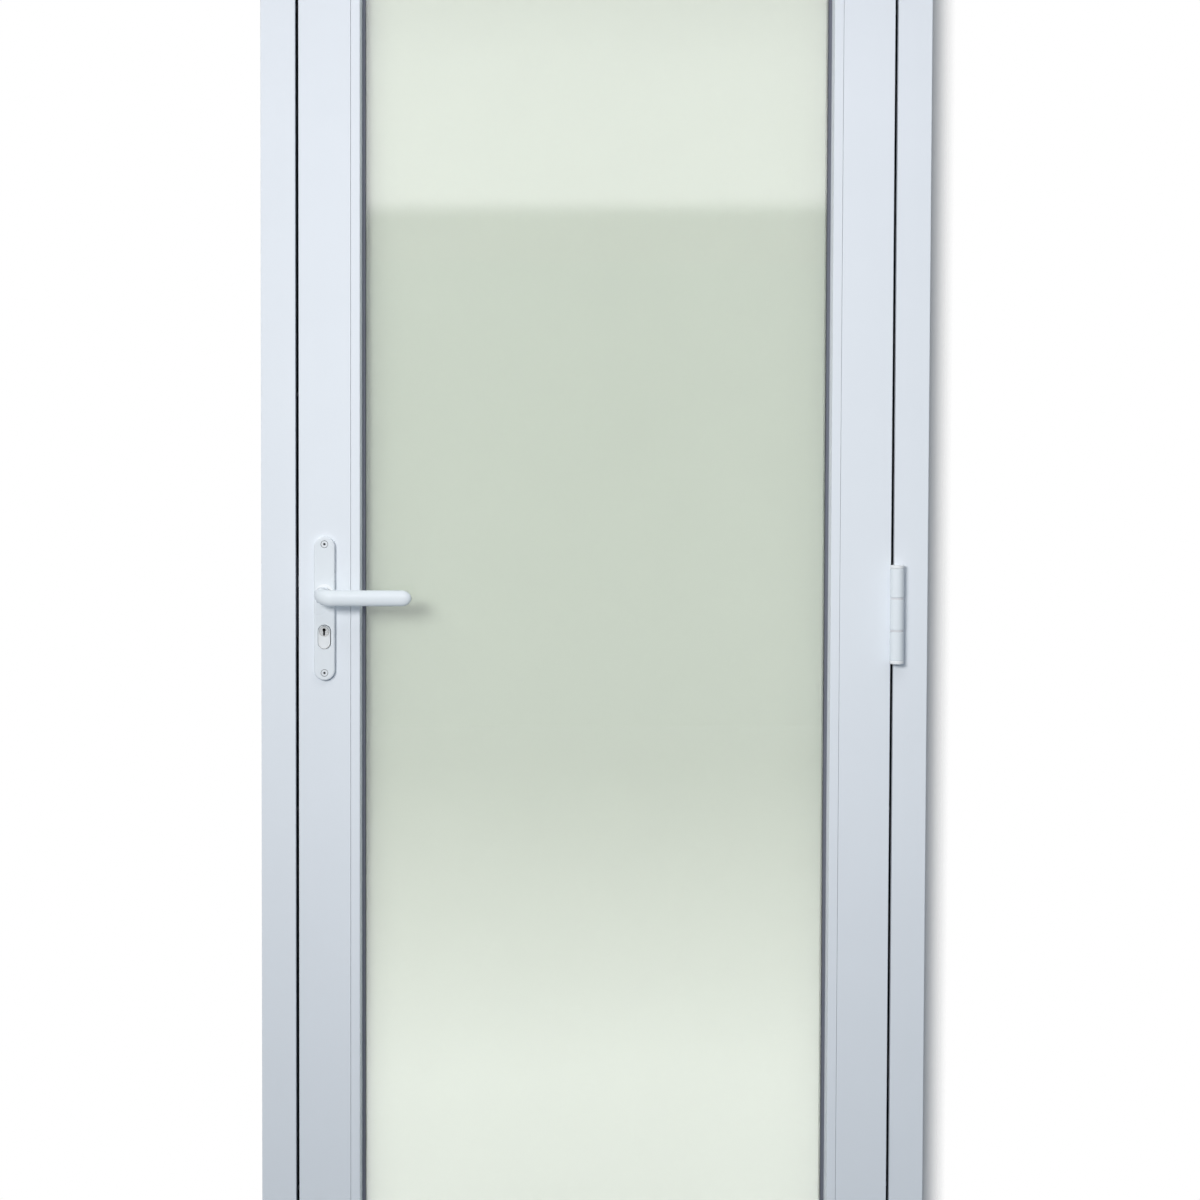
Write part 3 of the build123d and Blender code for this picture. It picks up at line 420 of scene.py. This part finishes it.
def pane_glass(name, tint, tint_deep, rough_low, rough_high, wave, shade, clearness):
    """Tinted glass. Lamps shine through it, so that it doesn't throw a solid shadow."""
    material, tree, shader, place = start_material(name)
    shader.inputs["Transmission Weight"].default_value = clearness
    shader.inputs["IOR"].default_value = glass_ior
    skin = place_group(tree, coat_skin, place, Peel_Scale=2.2, Cloud_Scale=1.6)
    colour = blend(tree, from_noise(tree, skin.outputs["Cloud"]), tint, tint_deep)
    join(tree, colour, shader.inputs["Base Color"])
    rough = from_noise(tree, skin.outputs["Cloud"], rough_low, rough_high)
    join(tree, rough, shader.inputs["Roughness"])
    bump(tree, shader, skin.outputs["Peel"], wave, wave_depth)
    clear = node(tree, "ShaderNodeBsdfTransparent", Color=opaque(shade))
    path = node(tree, "ShaderNodeLightPath")
    mixed = mix_shaders(tree, path.outputs["Is Shadow Ray"], shader, clear)
    join(tree, mixed, tree.nodes["Material Output"].inputs["Surface"])
    return material


bar_coat = white_coat("white bar coat", (0.80, 0.84, 0.89), (0.78, 0.82, 0.87),
                      0.34, 0.42, peel_strength=0.05, jointed=True)
fitting_coat = white_coat("white fitting coat", (0.795, 0.845, 0.885), (0.775, 0.825, 0.865),
                          0.2, 0.27, peel_strength=0.03, jointed=False)
# Painted shade in the plate's screw recesses and in the cylinder slot
handle_coat = recess_shade_coat("white plate coat", (0.785, 0.828, 0.868), (0.765, 0.808, 0.848),
                         (0.07, 0.075, 0.085), 0.24, 0.3, peel_strength=0.03,
                         find_painted_shade=plate_grooves)
# Painted shade in the sockets of the plate screws
screw_coat = recess_shade_coat("white screw lacquer", (0.80, 0.83, 0.86), (0.74, 0.77, 0.80),
                        (0.03, 0.032, 0.038), 0.3, 0.4, peel_strength=0.05,
                        find_painted_shade=screw_sockets)
cap_plastic = moulded("white cap plastic", (0.86, 0.88, 0.90), (0.83, 0.85, 0.87),
                      0.28, 0.36, peel_scale=900.0, strength=0.03)
# Grey bushes, in part painted shade: the joints between the knuckles read as dark lines
bush_plastic = moulded("grey bush plastic", (0.72, 0.73, 0.76), (0.66, 0.67, 0.7),
                       0.35, 0.45, peel_scale=900.0, strength=0.03)
rubber = moulded("black seal rubber", (0.016, 0.021, 0.034), (0.024, 0.03, 0.044),
                 0.45, 0.6, peel_scale=500.0, strength=0.15)
gasket_rubber = moulded("grey gasket rubber", (0.13, 0.14, 0.175), (0.155, 0.165, 0.2),
                        0.5, 0.65, peel_scale=500.0, strength=0.15)
block_plastic = moulded("black block plastic", (0.04, 0.04, 0.045), (0.055, 0.055, 0.06),
                        0.4, 0.55, peel_scale=400.0, strength=0.1)
anodised = brushed_metal("silver threshold", (0.68, 0.69, 0.70), (0.6, 0.61, 0.62),
                         0.34, 0.44, stretch=(18.0, 900.0, 900.0))
mill = brushed_metal("mill finish aluminium", (0.7, 0.71, 0.72), (0.62, 0.63, 0.64),
                     0.42, 0.55, stretch=(300.0, 300.0, 30.0))
nickel = brushed_metal("satin nickel", (0.80, 0.79, 0.77), (0.72, 0.71, 0.69),
                       0.24, 0.34, stretch=(700.0, 700.0, 60.0))
# Painted light: paler than the satin nickel, standing in for the bright surroundings that the cylinder
# reflects
lit_cylinder_nickel = brushed_metal("cylinder nickel with painted light", (0.86, 0.88, 0.875), (0.8, 0.82, 0.815),
                              0.3, 0.4, stretch=(700.0, 700.0, 60.0))
# Painted shade: the strike plate is near-black so that the gap beside the lock stays dark
strike_shade_steel = brushed_metal("strike steel darkened for painted shade", (0.05, 0.055, 0.065), (0.035, 0.04, 0.05),
                            0.4, 0.5, stretch=(500.0, 500.0, 60.0))
zinc = brushed_metal("bright zinc", (0.66, 0.67, 0.68), (0.58, 0.59, 0.6),
                     0.26, 0.38, stretch=(500.0, 500.0, 120.0))
# Painted shade inside the keyholes
plug_nickel = plug_metal("key plug nickel", (0.72, 0.715, 0.7), (0.64, 0.635, 0.62),
                         painted_shade=(0.012, 0.012, 0.014))
clear_glass = pane_glass("front tinted glass", (0.697, 0.724, 0.681), (0.687, 0.714, 0.671),
                         0.0, 0.01, wave=0.02, shade=(0.93, 0.96, 0.93), clearness=1.0)
satin_glass = pane_glass("rear satin glass", (0.885, 0.892, 0.872), (0.875, 0.882, 0.862),
                         0.42, 0.46, wave=0.02, shade=(0.95, 0.97, 0.95), clearness=0.64)

slot_finish = {
    "white_coat": bar_coat,
    "anodised_aluminium": anodised,
    "mill_aluminium": mill,
    "black_rubber": rubber,
    "tinted_glass": clear_glass,
    "block_plastic": block_plastic,
    "white_plastic": cap_plastic,
    "white_steel": screw_coat,
    "satin_nickel": nickel,
    "steel": zinc,
}
node_finish = {
    "glass_rear_pane": satin_glass,
    "front_glazing_gasket": gasket_rubber,
    "rear_glazing_gasket": gasket_rubber,
    "strike_plate": strike_shade_steel,
    "cylinder_body": lit_cylinder_nickel,
    "outer_key_plug": plug_nickel,
    "inner_key_plug": plug_nickel,
    "hinge_bushes": bush_plastic,
    "front_handle_plate": handle_coat,
    "rear_handle_plate": handle_coat,
    "front_lever": fitting_coat,
    "rear_lever": fitting_coat,
}
for part in frame["record"]["subparts"]:
    name = part["node"]
    if "knuckle" in name:
        finish = fitting_coat
    else:
        finish = node_finish.get(name, slot_finish[part["material_slot"]])
    piece = frame["nodes"][name]
    piece.data.materials.clear()
    piece.data.materials.append(finish)

# The stage, in metres. Each ramp is its level at the start, its level at the end, the start and the end
shade_end = 0.53
shade_fade = (0.0, 1.0, 0.49, 0.524)
shade_colour = (0.62, 0.62, 0.62)
shade_glow = (1.0, 0.985, 1.05)
shade_base_glow = 0.03
# Painted light: the shade sheet's glow through the glass, brighter towards the floor, in a band near the
# top and towards the sides
glow_at_floor = (1.42, 0.1, 0.4, 0.91)
glow_at_middle = (0.21, 0.02, 0.95, 1.6)
glow_at_band = (0.0, 0.38, 1.66, 1.685)
glow_at_top = (0.38, 0.2, 1.88, 1.97)
glow_at_sides = (0.0, 0.09, 0.1, 0.3)

backdrop_y = 0.5
backdrop_half = 4.0
backdrop_top = 4.5

floor_half = 7.0
floor_colour = (0.2, 0.255, 0.32)
floor_lift = (1.085, 1.005, 0.915)
floor_fade = (0.0, 1.0, 2.0, 6.5)
floor_seen = (0.55, 0.86, 0.0, 1.0)
floor_mirrored = 0.79

card_y = -4.0
card_half = 3.0
card_bottom = 2.0
card_top = 3.6
card_colour = (0.97, 0.91, 1.0)
card_tilt = -0.0205
card_edge = (0.8, 2.9, 2.155, 2.215)

sky_colour = (0.85, 0.93, 1.0)
sky_soft = (0.165, 0.37, -0.2, 0.7)
sky_mirrored = 0.8


# Floor, backdrop and light
def stage_plane(name, corners, material):
    """A flat stage sheet through four corners."""
    bpy.ops.mesh.primitive_plane_add(size=1.0)
    sheet = bpy.context.object
    sheet.name = name
    in_order = (corners[0], corners[1], corners[3], corners[2])
    for vertex, corner in zip(sheet.data.vertices, in_order):
        vertex.co = corner
    sheet.data.materials.append(material)
    sheet.select_set(False)
    return sheet


def upright(left, right, depth, bottom, top):
    """The corners of an upright sheet."""
    return ((left, depth, bottom), (right, depth, bottom), (right, depth, top), (left, depth, top))


def seen_by(sheet, camera, glossy, transmission):
    """Shows a sheet to these rays alone. It lights no surface and throws no shadow."""
    sheet.visible_camera = camera
    sheet.visible_diffuse = False
    sheet.visible_glossy = glossy
    sheet.visible_transmission = transmission
    sheet.visible_shadow = False


def start_stage_material(name):
    """Starts a material without a shader and returns it with its tree and surface socket."""
    material = bpy.data.materials.new(name)
    material.use_nodes = True
    material.cycles.emission_sampling = "NONE"
    tree = material.node_tree
    tree.nodes.remove(tree.nodes["Principled BSDF"])
    return material, tree, tree.nodes["Material Output"].inputs["Surface"]


def one_sided(tree, front, surface, hidden):
    """Shows the front shader, and lets the view through from behind and where hidden is 1."""
    gone = node(tree, "ShaderNodeBsdfTransparent")
    behind = node(tree, "ShaderNodeNewGeometry").outputs["Backfacing"]
    unseen = math_node(tree, "MAXIMUM", behind, hidden)
    join(tree, mix_shaders(tree, unseen, front, gone), surface)


def shade_material():
    """Sheet seen through the glass, and as a soft shade that fades out at the right of the frame.
    Through the glass it glows as painted light: brighter towards the floor, in a band near the top and
    towards the sides.
    """
    material, tree, surface = start_stage_material("shade sheet")
    paper = node(tree, "ShaderNodeBsdfDiffuse", Color=opaque(shade_colour))
    glow = node(tree, "ShaderNodeEmission", Color=opaque(shade_glow))
    path = node(tree, "ShaderNodeLightPath")
    across, _, height = split(tree, object_place(tree))
    low = math_node(tree, "MAXIMUM", spread(tree, height, *glow_at_floor),
                    spread(tree, height, *glow_at_middle))
    high = math_node(tree, "MINIMUM", spread(tree, height, *glow_at_band),
                     spread(tree, height, *glow_at_top))
    sides = spread(tree, math_node(tree, "ABSOLUTE", across), *glow_at_sides)
    # Painted light seen through the glass
    through = math_node(tree, "ADD", low, math_node(tree, "ADD", high, sides))
    strength = math_node(tree, "MULTIPLY_ADD", path.outputs["Is Transmission Ray"], through,
                         shade_base_glow)
    join(tree, strength, glow.inputs["Strength"])
    in_doorway = math_node(tree, "LESS_THAN", across, half_frame)
    in_doorway = math_node(tree, "MULTIPLY", in_doorway, path.outputs["Is Camera Ray"])
    hidden = math_node(tree, "MAXIMUM", spread(tree, across, *shade_fade), in_doorway)
    one_sided(tree, add_shaders(tree, paper, glow), surface, hidden)
    return material


def backdrop_material():
    """White backdrop that isn't there for a camera behind it."""
    material, tree, surface = start_stage_material("white backdrop")
    glow = node(tree, "ShaderNodeEmission", Color=opaque(white), Strength=1.0)
    one_sided(tree, glow, surface, 0.0)
    return material


def floor_material():
    """Pale floor that throws a cool light on the door. Where it is seen it is lifted, most far away."""
    material, tree, surface = start_stage_material("pale floor")
    paper = node(tree, "ShaderNodeBsdfDiffuse", Color=opaque(floor_colour))
    lift = node(tree, "ShaderNodeEmission")
    path = node(tree, "ShaderNodeLightPath")
    away = node(tree, "ShaderNodeVectorMath", operation="LENGTH")
    join(tree, object_place(tree), away.inputs[0])
    far = spread(tree, away.outputs["Value"], *floor_fade)
    join(tree, blend(tree, far, floor_lift, white), lift.inputs["Color"])
    seen = math_node(tree, "MAXIMUM", path.outputs["Is Camera Ray"], path.outputs["Is Transmission Ray"])
    seen = math_node(tree, "MULTIPLY", seen, spread(tree, far, *floor_seen))
    mirrored = math_node(tree, "MULTIPLY", path.outputs["Is Glossy Ray"], floor_mirrored)
    join(tree, math_node(tree, "MAXIMUM", seen, mirrored), lift.inputs["Strength"])
    join(tree, add_shaders(tree, paper, lift).outputs[0], surface)
    return material


def card_material():
    """Bright card for reflections alone, with a soft lower edge that is tilted a little."""
    material, tree, surface = start_stage_material("bright card")
    glow = node(tree, "ShaderNodeEmission", Color=opaque(card_colour))
    across, _, height = split(tree, object_place(tree))
    level = math_node(tree, "MULTIPLY_ADD", across, card_tilt, height)
    join(tree, spread(tree, level, *card_edge), glow.inputs["Strength"])
    join(tree, glow.outputs[0], surface)
    return material


shade_sheet = stage_plane("shade sheet", upright(-half_frame, shade_end, wall_y, 0.0, frame_top),
                          shade_material())
seen_by(shade_sheet, camera=True, glossy=False, transmission=True)
backdrop = stage_plane("backdrop", upright(-backdrop_half, backdrop_half, backdrop_y, 0.0, backdrop_top),
                       backdrop_material())
seen_by(backdrop, camera=True, glossy=False, transmission=True)
stage_plane("floor", ((-floor_half, -floor_half, 0.0), (floor_half, -floor_half, 0.0),
                      (floor_half, floor_half, 0.0), (-floor_half, floor_half, 0.0)), floor_material())
high_card = stage_plane("high card", upright(-card_half, card_half, card_y, card_bottom, card_top),
                        card_material())
seen_by(high_card, camera=False, glossy=True, transmission=False)


def area_lamp(name, place, target, wide, tall, spread_angle, power, colour):
    """A soft lamp that is seen neither directly nor in or through the glass."""
    light = bpy.data.lights.new(name, "AREA")
    light.shape = "RECTANGLE"
    light.size = wide
    light.size_y = tall
    light.spread = radians(spread_angle)
    light.energy = power
    light.color = colour
    lamp = bpy.data.objects.new(name, light)
    scene.collection.objects.link(lamp)
    forward = Vector(target) - Vector(place)
    lamp.rotation_euler = forward.to_track_quat("-Z", "Y").to_euler()
    lamp.location = place
    lamp.visible_camera = False
    lamp.visible_glossy = False
    lamp.visible_transmission = False


area_lamp("key lamp", (-1.2, -3.4, 2.05), (0.2, 0.0, 1.2), wide=1.2, tall=0.8,
          spread_angle=80.0, power=19.2, colour=(1.0, 0.985, 0.965))
area_lamp("top lamp", (0.25, -1.7, 3.3), (0.1, 0.0, 1.3), wide=2.2, tall=1.2,
          spread_angle=180.0, power=12.4, colour=(0.97, 0.985, 1.0))
area_lamp("rear lamp", (1.6, 3.6, 2.6), (0.0, 0.0, 1.1), wide=2.0, tall=2.0,
          spread_angle=180.0, power=100.0, colour=(1.0, 0.98, 0.95))

# Pale world that is white where it is seen
world = bpy.data.worlds.new("studio")
scene.world = world
world.use_nodes = True
sky = world.node_tree
ambient = sky.nodes["Background"]
path = node(sky, "ShaderNodeLightPath")
seen = math_node(sky, "MAXIMUM", path.outputs["Is Camera Ray"], path.outputs["Is Transmission Ray"])
mirrored = math_node(sky, "MULTIPLY", path.outputs["Is Glossy Ray"], sky_mirrored)
upward = split(sky, sky.nodes.new("ShaderNodeTexCoord").outputs["Generated"])[2]
strength = math_node(sky, "MAXIMUM", math_node(sky, "MAXIMUM", seen, mirrored),
                     spread(sky, upward, *sky_soft))
join(sky, strength, ambient.inputs["Strength"])
join(sky, blend(sky, seen, sky_colour, white), ambient.inputs["Color"])

# Camera, fitted to the photo's edges
lens = bpy.data.cameras.new("camera")
lens.sensor_width = 36.0
lens.lens = 59.07
lens.shift_y = -0.06
camera = bpy.data.objects.new("camera", lens)
scene.collection.objects.link(camera)
camera.location = (-0.080, -2.825, 1.2955)
turn = Matrix.Rotation(radians(-1.74), 4, "Z")
tilt = Matrix.Rotation(radians(90.0 - 1.788), 4, "X")
roll = Matrix.Rotation(radians(0.212), 4, "Z")
camera.rotation_euler = (turn @ tilt @ roll).to_euler()
scene.camera = camera
